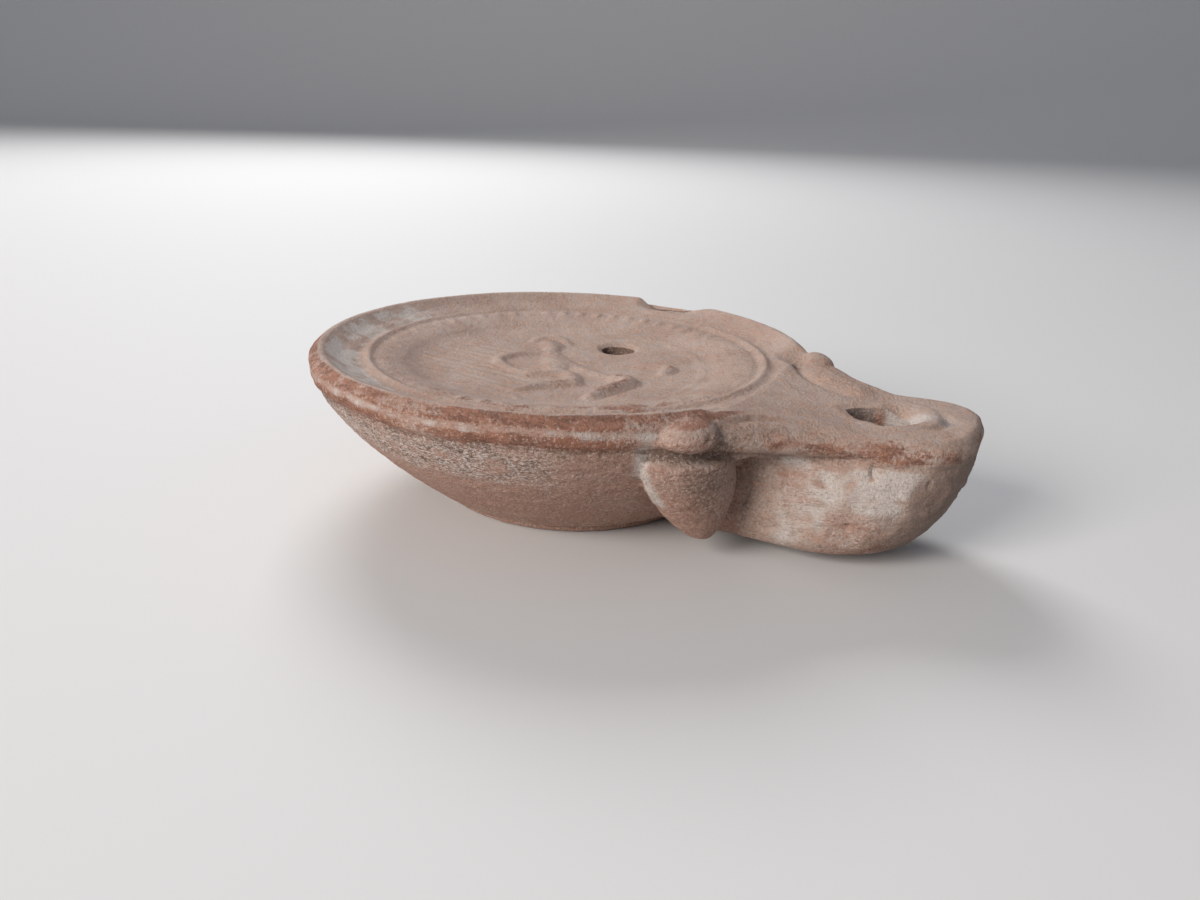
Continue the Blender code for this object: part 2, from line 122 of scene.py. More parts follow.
# (share of the way from a keel's top to its tip, share of its width, share of its depth), downwards
KEEL_SECTIONS = ((-0.28, 0.80, 0.50), (-0.06, 0.86, 0.64), (-0.02, 0.93, 0.92), (0.03, 0.97, 1.04),
                 (0.14, 0.99, 1.02), (0.3, 0.97, 1.00), (0.46, 0.88, 0.95), (0.62, 0.74, 0.86),
                 (0.78, 0.55, 0.73), (0.9, 0.39, 0.58), (0.97, 0.25, 0.44), (1.0, 0.10, 0.25))
KNOB_BEARING = math.radians(38)

# Break in the rim, in degrees round the body: steep at its start, and it runs out towards the nozzle
CHIP_START = 98.0
CHIP_SPAN = 26.0
CHIP_FALL = 5.5
CHIP_RUNOUT = 14.0
CHIP_DEPTH = 1.7
CHIP_RADIUS = 33.2

# Grooves and a band round the body's side: (relief, height above the foot, half width)
SIDE_BANDS = ((-0.22, 21.15, 0.35), (0.18, 20.0, 0.7), (-0.26, 18.7, 0.4))

# Carving of the deck: the far volute's notch, its groove and the broad roll outside them, each as
# (path, width, fade, relief)
DECK_CARVING = (
    (((28.4, 19.8), (29.9, 17.0), (31.0, 13.6), (32.2, 10.6)), 1.2, 0.3, -0.7),
    (((30.6, 14.6), (32.4, 10.4), (34.8, 7.8), (38.4, 6.2), (42.4, 5.8)), 0.75, 0.3, -0.80),
    (((33.6, 14.6), (36.0, 11.6), (39.4, 9.2), (44.0, 8.4)), 1.8, 0.25, 0.60),
)

# The recess between the near knob and its keel, and the creases on both sides of the keel
CREASES = (
    (((24.6, -27.4, 17.8), (27.0, -25.6, 17.7), (29.8, -22.9, 17.6), (32.4, -19.4, 17.4),
      (34.6, -15.8, 16.7)), 0.8, 0.2, 0.45),
    (((34.2, -15.6, 16.2), (34.2, -13.6, 12.0), (32.0, -12.2, 7.0)), 0.8, 0.2, 0.8),
    (((23.4, -28.0, 16.4), (24.4, -26.2, 12.0), (25.6, -22.0, 7.6)), 0.7, 0.2, 0.4),
)

# Single marks, each as (centre, stretch, half width, strength)
PITS = (
    ((36.4, -14.6, 16.2), (0.6, 1.0, 1.2), 0.7, 0.9),
    ((48.6, -10.6, 15.3), (1.8, 1.0, 0.7), 0.55, 1.0),
    ((46.6, -11.2, 7.6), (0.8, 1.0, 1.3), 0.5, 0.7),
)
SLIP_SPOTS = (
    ((49.6, -8.8, 17.8), (0.6, 1.0, 1.3), 2.1, 1.0),
    ((50.6, -7.8, 3.8), (0.45, 1.0, 1.0), 2.2, 0.8),
    ((30.0, -24.8, 20.0), 1.0, 2.6, 0.35),
)
PALE_SPOTS = (
    ((50.6, 2.4, 18.0), (1.0, 1.0, 0.5), 2.2, 1.1),
    ((37.0, -13.6, 17.9), (0.5, 1.0, 1.0), 2.0, 0.8),
)

# The near keel's pale edge, and the middle of the wick hole
KEEL_EDGE = ((25.2, -26.3, 21.5), (24.6, -26.9, 19.5), (24.2, -26.6, 17.2), (24.2, -26.0, 15.0),
             (25.2, -24.6, 12.0), (26.0, -22.6, 9.2))
WICK_MIDDLE = (46.2, 0.6)

# Mesh
VOXEL = 0.30
SMOOTHING = 4
TRIANGLES = 186000
MERGE_DISTANCE = 0.004
HOLLOW_ROUNDS = 6
HOLLOW_GAIN = 12.0
FORWARD_ROUNDS = 14
SHARP_ANGLE = 55

# Colours of the clay and of what lies on it, and of the painted light and shade
CLAY = (0.37, 0.245, 0.19)
CLAY_LIGHT = (0.45, 0.325, 0.265)
CLAY_WARM = (0.47, 0.285, 0.20)
CLAY_GREY = (0.36, 0.31, 0.285)
RUDDY = (0.37, 0.205, 0.150)
SLIP = (0.27, 0.105, 0.06)
SLIP_DARK = (0.13, 0.06, 0.04)
# pale deposit, and painted light in the wick hole
DEPOSIT_AND_LIGHT = (0.56, 0.50, 0.455)
# grime, and painted shade in hollows, creases and pits
GRIME_AND_SHADE = (0.12, 0.075, 0.052)
# soot, and painted shade inside the wick hole on the body's side
SOOT_AND_SHADE = (0.20, 0.18, 0.17)
DARK_SPECK = (0.15, 0.085, 0.06)
PALE_SPECK = (0.66, 0.57, 0.50)
PALE_CRUST = (0.62, 0.56, 0.52)
# painted shade for the nozzle's end face, which faces away from the light
SHADE = (0.17, 0.115, 0.09)

# Grain of the clay: how strongly it frays the edges of what lies on it, and its depth in millimetres
FRAYING = 3.2
GRAIN_DEPTH = 0.45

# Camera, stage and light, in metres, degrees and watts
CAMERA_PLACE = (0.0687, -0.1240, 0.0584)
CAMERA_HEADING = 27.23
CAMERA_TILT = 69.39
CAMERA_ROLL = 2.23
CAMERA_LENS = 28.5
STAGE_HALF = 2.5
STAGE_BACK = 1.6
STAGE_BEND = 0.5
STAGE_COLOUR = (0.62, 0.60, 0.58)
WORLD_COLOUR = (0.78, 0.86, 1.0)
WORLD_STRENGTH = 0.30
# (name, place, target, size, power, colour)
LIGHTS = (
    ("window", (-0.26, -0.80, 0.42), (0.01, 0.0, 0.0), 0.40, 9.6, (1.0, 0.97, 0.94)),
    ("back", (-0.52, 0.50, 0.58), (0.0, 0.0, 0.01), 0.4, 6.0, (0.95, 0.97, 1.0)),
)


# Sculpting tools

def ease(value):
    """A smooth step from 0 to 1."""
    value = np.clip(value, 0.0, 1.0)
    return value * value * (3.0 - 2.0 * value)


def bell(distance, width):
    """A soft bump of height 1 and the given half width."""
    return np.exp(-(distance / width) ** 2)


def smooth_path(points, count):
    """A Catmull-Rom run of count points through the given ones."""
    given = np.array(points, dtype=float)
    padded = np.vstack([2 * given[0] - given[1], given, 2 * given[-1] - given[-2]])
    spans = len(given) - 1
    run = []
    for step in np.linspace(0.0, spans, count):
        i = min(int(step), spans - 1)
        t = step - i
        a, b, c, d = padded[i:i + 4]
        run.append(0.5 * (2 * b + (c - a) * t + (2 * a - 5 * b + 4 * c - d) * t * t
                          + (3 * b - a - 3 * c + d) * t ** 3))
    return np.array(run)


def noise(points, size, seed=0):
    """Smooth value noise from -1 to 1 with cells of the given size."""
    place = points / size + seed * 19.7
    cell = np.floor(place).astype(np.int64)
    inside = place - cell
    inside = inside * inside * (3.0 - 2.0 * inside)
    total = np.zeros(len(points))
    for corner in range(8):
        step = np.array([corner & 1, corner >> 1 & 1, corner >> 2])
        x, y, z = (cell + step).T
        key = (x * 73856093 ^ y * 19349663 ^ z * 83492791 ^ seed * 2654435761) & 0xFFFFFFFF
        key = (key ^ key >> 15) * 2246822519 & 0xFFFFFFFF
        key = (key ^ key >> 13) * 3266489917 & 0xFFFFFFFF
        share = np.prod(np.where(step, inside, 1.0 - inside), axis=1)
        total += share * ((key ^ key >> 16) / 2147483648.0 - 1.0)
    return total


def fractal(points, size, seed=0, octaves=3):
    """Several layers of noise, each finer and weaker than the one before."""
    total = sum(noise(points, size / 2 ** i, seed + i) / 2 ** i for i in range(octaves))
    return total / sum(0.5 ** i for i in range(octaves))


def along(points, path):
    """Distance of each point from a path, and how far along the path it lies from 0 to 1."""
    path = np.array(path, dtype=float)
    lengths = np.linalg.norm(np.diff(path, axis=0), axis=1)
    starts = np.concatenate([[0.0], np.cumsum(lengths)])
    nearest = np.full(len(points), 1e9)
    share = np.zeros(len(points))
    for a, b, length, start in zip(path, path[1:], lengths, starts):
        t = np.clip((points - a) @ (b - a) / length ** 2, 0.0, 1.0)
        distance = np.linalg.norm(points - a - t[:, None] * (b - a), axis=1)
        closer = distance < nearest
        nearest = np.where(closer, distance, nearest)
        share = np.where(closer, (start + t * length) / starts[-1], share)
    return nearest, share


def stroke(points, path, width, fade=0.15):
    """A soft line of height 1 along a path, fading out at both ends."""
    nearest, share = along(points, smooth_path(path, 5 * len(path)))
    return bell(nearest, width) * ease(np.minimum(share, 1.0 - share) / fade + 0.15)


def strokes(points, table):
    """Soft lines of (path, width, fade, height), added up."""
    return sum(height * stroke(points, path, width, fade) for path, width, fade, height in table)


def spot(points, centre, width, stretch=1.0):
    """A soft spot of height 1 round a place."""
    return bell(np.linalg.norm((points - centre) * stretch, axis=1), width)


def spots(points, table, base):
    """Soft spots of (centre, stretch, width, height), added to a base."""
    for centre, stretch, width, height in table:
        base = base + height * spot(points, centre, width, stretch)
    return base


# Forms of the lamp, each a closed shell of points and faces

def loft(rings):
    """A closed shell through rings with equal numbers of points."""
    count = len(rings[0])
    faces = [list(range(count))[::-1]]
    for row in range(len(rings) - 1):
        base = row * count
        for i in range(count):
            j = (i + 1) % count
            faces.append([base + i, base + j, base + count + j, base + count + i])
    base = (len(rings) - 1) * count
    faces.append([base + i for i in range(count)])
    return np.array(rings, dtype=float).reshape(-1, 3), faces


def circle(radius, height, count=240):
    """A level ring of points."""
    turn = np.linspace(0.0, math.tau, count, endpoint=False)
    return np.stack([radius * np.cos(turn), radius * np.sin(turn), np.full(count, height)], axis=1)


def tube(path, sides=24):
    """A round tube through points of (x, y, z, radius), with rounded ends."""
    centres, radii = path[:, :3], path[:, 3]
    heading = np.gradient(centres, axis=0)
    heading /= np.linalg.norm(heading, axis=1)[:, None]
    rings = []
    turn = np.linspace(0.0, math.tau, sides, endpoint=False)[:, None]

    def ring(centre, direction, radius):
        across = np.cross(direction, (0.0, 0.0, 1.0))
        across /= np.linalg.norm(across)
        up = np.cross(across, direction)
        return centre + radius * (across * np.cos(turn) + up * np.sin(turn))

    for angle in np.linspace(math.pi / 2, 0.0, 7)[:-1]:
        rings.append(ring(centres[0] - heading[0] * radii[0] * math.sin(angle), heading[0],
                          radii[0] * math.cos(angle) + 0.01))
    for centre, direction, radius in zip(centres, heading, radii):
        rings.append(ring(centre, direction, radius))
    for angle in np.linspace(0.0, math.pi / 2, 7)[1:]:
        rings.append(ring(centres[-1] + heading[-1] * radii[-1] * math.sin(angle), heading[-1],
                          radii[-1] * math.cos(angle) + 0.01))
    return loft(rings)


def ellipsoid(centre, axes, turned):
    """An ellipsoid with half axes along its bearing, across it and up."""
    rings = [circle(math.cos(a), math.sin(a), 40) for a in np.linspace(-1.55, 1.55, 21)]
    points, faces = loft(rings)
    turn = np.array(Matrix.Rotation(turned, 3, "Z"))
    return points * np.array(axes) @ turn.T + centre, faces


def side_radius(z):
    """Radius of the outer wall at a height."""
    return BELLY_RADIUS - (BELLY_RADIUS - FOOT_RADIUS) * (1.0 - z / BELLY_HEIGHT) ** SIDE_FULLNESS


def deck_share(x):
    """How far along the deck a place is, from 0 at the shoulder to 1 at the wick hole."""
    return np.clip((x - DECK_START) / (NOZZLE_REACH - WICK_HOLE_SETBACK - DECK_START), 0.0, 1.0)


def deck_half(x):
    """Half width of the deck."""
    edge = NOZZLE_HALF_WIDTH * EDGE_SHARE
    return edge + (DECK_HALF_WIDTH - edge) * (1.0 - deck_share(x)) ** 2


def deck_middle(x):
    """How far the deck's middle lies towards the near side."""
    return -DECK_SKEW * (1.0 - deck_share(x)) ** 2


def deck_height(x, y):
    """Height of the dished deck."""
    start = CREST_HEIGHT - DECK_SINK
    share = deck_share(x)
    across = np.minimum(np.abs(y - deck_middle(x)) / deck_half(x), 1.0)
    dish = DECK_DISH * (1.0 - across ** 2) * (1.0 - 0.8 * share)
    notch = NOTCH_DEPTH * bell(np.hypot(x - NOTCH_PLACE[0], y - NOTCH_PLACE[1]), NOTCH_SIZE)
    return start + (NOZZLE_TOP - start) * share ** 0.8 - dish - notch


def settled(points):
    """Lowers the crest to the deck where the nozzle joins, and leans the body off its foot."""
    x, y, z = points.T
    level = np.minimum(z, deck_height(x, y))
    outside = np.abs(y - deck_middle(x)) - DECK_HALF_WIDTH - NOTCH_SPREAD * (y > 0.0)
    share = ease(0.5 - outside / RIDGE_THICKNESS) * (x > 0) * (z > CREST_HEIGHT - SHOULDER_DROP)
    share *= ease((np.hypot(x, y) - GROOVE_RADIUS + 0.6) / 1.2)
    z = z + (level - z) * share
    return np.stack([x + LEAN[0] * z / CREST_HEIGHT, y + LEAN[1] * z / CREST_HEIGHT, z], axis=1)


def body():
    """The round body on its foot, with a smooth upper side."""
    top = smooth_path(TOP_PROFILE, 110)
    side = [(side_radius(z), z) for z in np.linspace(BELLY_HEIGHT, FOOT_HEIGHT + 0.9, 50)]
    foot = [(FOOT_RADIUS + 0.9, FOOT_HEIGHT + 0.5), (FOOT_RADIUS + 1.1, FOOT_HEIGHT),
            (FOOT_RADIUS + 0.6, 0.3), (FOOT_RADIUS - 0.2, 0.0), (CENTRE_RADIUS, 0.0)]
    rings = [circle(max(r, CENTRE_RADIUS), z) for r, z in [*top, *side, *foot]]
    points, faces = loft(rings)
    return settled(points), faces


def drift(x):
    """How far the nozzle's tip has veered to the far side at a place along it."""
    start = NOZZLE_REACH - 1.4 * WICK_HOLE_SETBACK
    return NOZZLE_DRIFT * ease((x - start) / (NOZZLE_REACH - start))


def nozzle_ring(z, half_width, tip, root, length, count):
    """One level of the nozzle: straight sides and a blunt round end of the given length."""
    angle = np.linspace(math.pi / 2, -math.pi / 2, count)
    reach = np.abs(np.cos(angle)) ** (2 / NOZZLE_BLUNTNESS)
    across = np.sign(np.sin(angle)) * np.abs(np.sin(angle)) ** (2 / NOZZLE_BLUNTNESS)
    x = np.concatenate([[root], tip - length + length * reach, [root]])
    y = np.concatenate([[half_width], half_width * across, [-half_width]])
    return np.stack([x, y + drift(x), np.full(len(x), z)], axis=1)


def nozzle(inset=0.0, levels=40, count=60):
    """The nozzle's outside, or with an inset the channel inside it, as a loft from bottom to top."""
    low = NOZZLE_LIFT + inset
    high = NOZZLE_TOP - inset
    rings = []
    for level, width, back, length in smooth_path(NOZZLE_LEVELS, levels):
        z = low + (high - low) * level
        half_width = NOZZLE_HALF_WIDTH * width - inset * min(width + 0.3, 1.0)
        root = NOZZLE_ROOT + NOZZLE_ROOT_RAKE * level
        rings.append(nozzle_ring(z, half_width, NOZZLE_REACH - back - inset, root, length, count))
    return loft(rings)


def deck():
    """The plate that carries the shoulder's surface out to the nozzle between the volutes."""
    low = NOZZLE_TOP - DECK_THICKNESS
    rows = []
    for x in np.linspace(DECK_START, NOZZLE_REACH - WICK_HOLE_SETBACK, 40):
        near, far = deck_middle(x) - deck_half(x), deck_middle(x) + deck_half(x)
        across = far + (near - far) * np.linspace(0.02, 0.98, 40)
        brow = deck_height(x, far) - DECK_BROW
        rows.append([(x, near, low), (x, far, low), (x, far, brow)]
                    + [(x, y, deck_height(x, y)) for y in across] + [(x, near, brow)])
    return loft(rows)


def keel(knob):
    """The keel that hangs under a knob, lipped at its top, and tapers to a rounded point near the foot."""
    side = math.copysign(1.0, knob[1])
    out = np.array([math.cos(KEEL_BEARING), side * math.sin(KEEL_BEARING), 0.0])
    across = np.array([-out[1], out[0], 0.0])
    top = np.array([knob[0], knob[1], KEEL_TOP]) - KEEL_SETBACK * out - KEEL_SHIFT * side * across
    tip = KEEL_TIP * np.array([1.0, side, 1.0])
    rings = []
    turn = np.linspace(0.0, math.tau, 48, endpoint=False)[:, None]
    for drop, width, depth in smooth_path(KEEL_SECTIONS, 70):
        centre = top + (tip - top) * drop
        swell = np.sign(np.sin(turn)) * np.abs(np.sin(turn)) ** 1.15
        sideways = across * np.cos(turn) * KEEL_WIDTH / 2 * width
        rings.append(centre + sideways + out * swell * KEEL_DEPTH / 2 * depth)
    return loft(rings)


def joined(shells):
    """One mesh of all shells."""
    points, faces, start = [], [], 0
    for shell_points, shell_faces in shells:
        points.append(shell_points)
        faces += [[start + i for i in face] for face in shell_faces]
        start += len(shell_points)
    mesh = bpy.data.meshes.new("shells")
    mesh.from_pydata(np.vstack(points), [], faces)
    return mesh


def changed(mesh, kind, **settings):
    """The mesh after one modifier."""
    item = bpy.data.objects.new("work", mesh)
    bpy.context.scene.collection.objects.link(item)
    modifier = item.modifiers.new("step", kind)
    for name, value in settings.items():
        setattr(modifier, name, value)
    bpy.context.view_layer.update()
    result = bpy.data.meshes.new_from_object(item.evaluated_get(bpy.context.evaluated_depsgraph_get()))
    bpy.data.objects.remove(item)
    return result


def positions(mesh):
    """The mesh's points as an array."""
    flat = np.empty(3 * len(mesh.vertices))
    mesh.vertices.foreach_get("co", flat)
    return flat.reshape(-1, 3)


def normals(mesh):
    """The mesh's normals at its points."""
    flat = np.empty(3 * len(mesh.vertices))
    mesh.vertices.foreach_get("normal", flat)
    return flat.reshape(-1, 3)


def place(mesh, points):
    """Moves the mesh's points."""
    mesh.vertices.foreach_set("co", np.ascontiguousarray(points, dtype=float).ravel())
    mesh.update()


class Neighbours:
    """Averages over the points that share an edge with each point."""

    def __init__(self, mesh):
        ends = np.empty(2 * len(mesh.edges), dtype=np.int64)
        mesh.edges.foreach_get("vertices", ends)
        a, b = ends.reshape(-1, 2).T
        self.here = np.concatenate([a, b])
        self.there = np.concatenate([b, a])
        self.count = len(mesh.vertices)
        self.weight = np.maximum(np.bincount(self.here, minlength=self.count), 1)

    def mean(self, values):
        """The neighbours' mean of each column."""
        if values.ndim == 1:
            return np.bincount(self.here, values[self.there], self.count) / self.weight
        return np.stack([self.mean(column) for column in values.T], axis=1)

    def smoothed(self, values, rounds, share=0.5, back=-0.52):
        """Values after rounds of smoothing that keeps the volume."""
        for _ in range(rounds):
            values = values + share * (self.mean(values) - values)
            values = values + back * (self.mean(values) - values)
        return values


# Relief of the upper side, as heights in millimetres over the smooth surface

def rings_relief(flat):
    """The bright ridge, the grooves beside it and the edge of the disc's floor."""
    r = np.linalg.norm(flat - RING_CENTRE, axis=1)
    floor = np.linalg.norm(flat - FLOOR_CENTRE, axis=1)
    left = 0.45 + 0.55 * ease((12.0 - flat[:, 0]) / 24.0)
    relief = 0.42 * bell(r - RIDGE_RADIUS, 0.50) - 0.42 * left * bell(r - GROOVE_RADIUS, 0.85)
    worn = 0.40 + 0.60 * ease((flat[:, 0] + 16.0) / 24.0)
    relief -= 0.24 * worn * bell(r - RIDGE_RADIUS + 1.15, 0.60)
    relief += worn * (0.14 * bell(floor - FLOOR_RADIUS, 0.65) - 0.10 * bell(floor - FLOOR_RADIUS + 1.1, 0.8))
    return relief


def eggs_relief(flat):
    """The worn band of eggs, with a fine groove on each side of every egg."""
    offset = flat - EGG_CENTRE
    r = np.linalg.norm(offset, axis=1)
    count = round(math.tau * EGG_RADIUS / EGG_PITCH)
    turn = np.arctan2(offset[:, 1], offset[:, 0]) / math.tau * count
    across = (turn - np.round(turn)) * EGG_PITCH
    egg = np.sqrt((across / 0.80) ** 2 + ((r - EGG_RADIUS - 0.2) / 1.15) ** 2)
    dome = (0.18 + 0.06 * ease(flat[:, 1] / 12.0)) * np.clip(1.0 - egg ** 2, 0.0, 1.0) ** 0.8
    cut_line = -0.07 * bell(np.abs(across) - 1.15, 0.26) * ease((1.9 - np.abs(r - EGG_RADIUS)) / 0.6)
    return (dome + cut_line) * ease((2.6 - np.abs(r - EGG_RADIUS)) / 0.6)


def limb(flat, path, height):
    """A rounded ridge along points of (x, y, half width)."""
    run = smooth_path(path, 6 * len(path))
    nearest, share = along(flat, run[:, :2])
    width = np.interp(share, np.linspace(0.0, 1.0, len(run)), run[:, 2])
    rounded = np.clip(1.0 - (nearest / (1.3 * width)) ** 2, 0.0, 1.0) ** 1.5
    return height * rounded * np.minimum(width / 1.5, 1.0)


# Limbs and cloak of the figure, each as (path of (x, y, half width), height)
FIGURE = (
    (((-12.9, 9.0, 0.8), (-12.8, 11.4, 1.0), (-11.6, 13.0, 1.1), (-9.6, 12.6, 1.0), (-7.4, 10.8, 0.8)), 0.50),
    (((-10.2, 9.4, 1.4), (-9.2, 8.4, 1.8), (-8.2, 7.0, 1.5)), 0.80),
    (((-7.8, 6.0, 1.2), (-6.4, 4.0, 1.5), (-4.6, 1.6, 1.8), (-2.6, -0.6, 1.8)), 0.60),
    (((-5.9, 4.6, 1.0), (-2.6, 2.2, 1.1), (1.4, 0.0, 1.1), (5.2, -1.4, 1.2), (8.4, -2.4, 1.3)), 0.45),
    (((-4.4, -1.6, 1.0), (-0.8, -2.8, 1.2), (2.4, -4.6, 1.3)), 0.55),
    (((-7.6, 4.8, 0.8), (-9.5, 3.2, 0.8), (-11.2, 1.3, 0.9), (-12.0, -1.4, 1.0), (-11.6, -3.8, 1.0),
      (-9.4, -5.4, 0.9), (-6.6, -6.7, 0.9), (-4.0, -6.6, 1.0), (-1.6, -4.8, 1.1), (0.6, -4.0, 1.2),
      (2.8, -5.6, 1.3), (4.2, -7.8, 1.3)), 0.80),
    (((4.2, -8.2, 1.4), (2.8, -9.9, 1.3), (1.4, -12.0, 1.2), (0.4, -14.4, 1.0), (-0.4, -16.8, 0.7)), 0.90),
    (((8.4, -2.4, 1.3), (10.4, -2.9, 1.5), (11.4, -4.6, 1.6), (10.8, -7.4, 1.6), (10.4, -10.6, 1.4),
      (10.0, -13.8, 1.0)), 1.05),
    (((8.0, 5.6, 0.9), (10.2, 6.3, 1.1), (12.2, 6.3, 1.3), (13.5, 5.2, 1.3), (13.6, 3.2, 1.0)), 0.90),
    (((0.6, -18.6, 0.5), (1.6, -19.4, 0.6), (2.7, -20.2, 0.5)), 0.35),
)


def figure_relief(flat):
    """A striding figure with a cloak flying behind it, worn soft."""
    relief = np.zeros(len(flat))
    for path, height in FIGURE:
        part = limb(flat, path, height)
        relief = np.log(np.exp(6.0 * relief) + np.exp(6.0 * part) - 1.0) / 6.0
    return relief


def folds_relief(flat):
    """Fine, shallow folds of the cloak, which run nearly level on the figure's left and droop to its feet."""
    level = np.column_stack([flat * [0.45, 1.0], np.zeros(len(flat))])
    sweep = flat[:, 1] - 0.05 * flat[:, 0] + 0.010 * (flat[:, 0] + 12.0) ** 2 + 1.5 * fractal(level, 8.0, 61)
    lines = 1.0 - np.abs(np.sin(math.pi * sweep / 2.3)) ** 0.7
    fine = 1.0 - np.abs(np.sin(math.pi * sweep / 0.95 + 0.7)) ** 0.8
    span = ease((flat[:, 0] + 23.0) / 3.0) * ease((2.0 - flat[:, 0]) / 6.0)
    span *= ease((7.0 - flat[:, 1]) / 6.0) * ease((flat[:, 1] + 25.0) / 3.0)
    inside = ease((21.5 - np.linalg.norm(flat - FLOOR_CENTRE, axis=1)) / 2.5)
    strength = np.clip(0.65 + 1.1 * fractal(level, 4.0, 63), 0.1, 1.3)
    return (0.12 - 0.36 * lines - 0.20 * fine) * span * inside * strength


def wick_outline():
    """The wick hole's outline, pointed towards the body and cut slantwise on the near side of its tip end."""
    return smooth_path([*WICK_HOLE, WICK_HOLE[0]], WICK_HOLE_POINTS + 1)[:-1]


def mouth_relief(flat):
    """Soft edges of the two holes, and the worn hollow between the wick hole and the nozzle's lip."""
    outline = wick_outline()
    nearest, _ = along(flat, np.vstack([outline, outline[:1]]))
    tip_end = ease((flat[:, 0] - 45.5) / 3.5)
    relief = -0.10 * bell(nearest, 0.4) - 1.2 * tip_end * ease((2.2 - nearest) / 2.2)
    relief += 0.14 * (1.0 - tip_end) * bell(nearest - 1.3, 0.7) + 0.18 * tip_end * bell(nearest - 3.3, 0.7)
    worn_lip = ((52.6, 6.0), (54.4, 4.4), (55.1, 2.0), (54.2, -0.6), (52.0, -2.4))
    relief -= 0.50 * stroke(flat, worn_lip, 1.0, 0.4)
    hole = np.linalg.norm(flat - FILLING_HOLE_PLACE, axis=1) - FILLING_HOLE_DIAMETER / 2
    return relief - 0.55 * bell(np.maximum(hole, 0.0), 0.55)


def chip_relief(flat):
    """The bite that is broken out of the rim's crest."""
    offset = flat - LEAN
    r = np.linalg.norm(offset, axis=1)
    turn = np.degrees(np.arctan2(offset[:, 1], offset[:, 0]))
    inside = ease((CHIP_START - turn) / CHIP_FALL) * ease((turn - CHIP_START + CHIP_SPAN) / CHIP_RUNOUT)
    ragged = 0.95 + 0.22 * fractal(np.column_stack([flat, np.zeros(len(flat))]), 2.6, 71)
    return -CHIP_DEPTH * inside * ease((r - CHIP_RADIUS) / 2.2) * ragged


def top_relief(points):
    """All carving of the upper side."""
    flat = points[:, :2]
    wear = 0.75 + 0.45 * fractal(points, 9.0, 3) + 0.25 * ease((flat[:, 1] - 4.0) / 16.0)
    wear -= 0.45 * ease((flat[:, 0] - 6.0) / 14.0)
    relief = rings_relief(flat) * (0.85 + 0.3 * fractal(points, 12.0, 7))
    relief += eggs_relief(flat) * np.clip(wear, 0.15, 1.15)
    figure = figure_relief(flat)
    relief += figure + folds_relief(flat) * ease(1.0 - figure / 0.3)
    return relief + strokes(flat, DECK_CARVING) + mouth_relief(flat) + chip_relief(flat)


# Relief of the sides, with hollows and pits

def bearing(points):
    """Bearing of each point round the leaning body in degrees, from -180 to 180."""
    offset = points[:, :2] - LEAN * points[:, 2:] / CREST_HEIGHT
    return np.degrees(np.arctan2(offset[:, 1], offset[:, 0]))


def seam_wave(points):
    """How far the mould seam and the lines beside it run up and down."""
    return 0.18 * np.sin(np.radians(9.0 * bearing(points))) + 0.3 * fractal(points, 5.0, 73)


def side_relief(points):
    """The body's seam, turning marks and crust, and the crease and roll under the nozzle's upper edge."""
    x, _, z = points.T
    body_part = np.clip((NOZZLE_JOIN - 3.0 - x) / 3.0, 0.0, 1.0)
    wave = seam_wave(points)
    relief = sum(height * bell(z - middle - wave, width) for height, middle, width in SIDE_BANDS)
    relief += 0.05 * np.sin(z * 3.1 + fractal(points, 14.0, 11) * 2.0) * ease((17.0 - z) / 3.0)
    crust = ease((z - 9.0) / 4.0) * ease((18.0 - z) / 1.5)
    relief += 0.26 * crust * np.maximum(fractal(points * [1.0, 1.0, 2.4], 1.3, 13), -0.15)
    bumpy = 0.9 * fractal(points, 4.0, 75)
    on_nozzle = ease((x - NOZZLE_JOIN) / 2.0)
    edge_crease = bell(z - 16.2 - bumpy, 0.55) * on_nozzle
    edge_roll = bell(z - 17.8 - bumpy, 1.0) * on_nozzle
    fading = 0.35 + 0.65 * ease((54.0 - x) / 10.0)
    return relief * body_part - 0.42 * fading * edge_crease + 0.16 * edge_roll


def hollows(points):
    """Depth of the recess and the creases by the near keel, and of three pits."""
    return spots(points, PITS, strokes(points, CREASES))


def facing_up(facing):
    """From 0 on the walls and the underside to 1 where the surface faces up."""
    return ease((facing[:, 2] - 0.35) / 0.4)


def pits(points, size, amount, seed):
    """Small round pits, as depths from 0 to 1."""
    return ease((noise(points, size, seed) - (1.0 - amount)) / (0.6 * amount))


def surface_relief(points, facing):
    """All relief along the normal, in millimetres."""
    up = facing_up(facing) * (points[:, 2] > 12.0)
    level = ease(-facing[:, 2] - 0.2)
    side = (1.0 - up) * (1.0 - level)
    relief = top_relief(points) * up + side_relief(points) * side - hollows(points)
    on_nozzle = ease((points[:, 0] - NOZZLE_JOIN) / 3.0)
    nozzle_wall = side * on_nozzle
    rough = 0.30 * fractal(points, 5.0, 21) + 0.24 * fractal(points * [0.8, 1.0, 1.3], 1.6, 23)
    strata = fractal(points * [0.35, 0.35, 2.0], 1.3, 27)
    relief += nozzle_wall * rough
    relief += side * (0.06 + 0.08 * on_nozzle) * strata
    relief += 0.07 * fractal(points, 6.0, 31) + 0.075 * fractal(points, 1.1, 33) * (1.0 - 0.45 * up)
    relief -= 0.26 * pits(points, 0.9, 0.22, 41) * (side + 0.3 * up)
    relief -= 0.34 * pits(points, 1.6, 0.16, 43) * nozzle_wall
    return relief


# Cutters

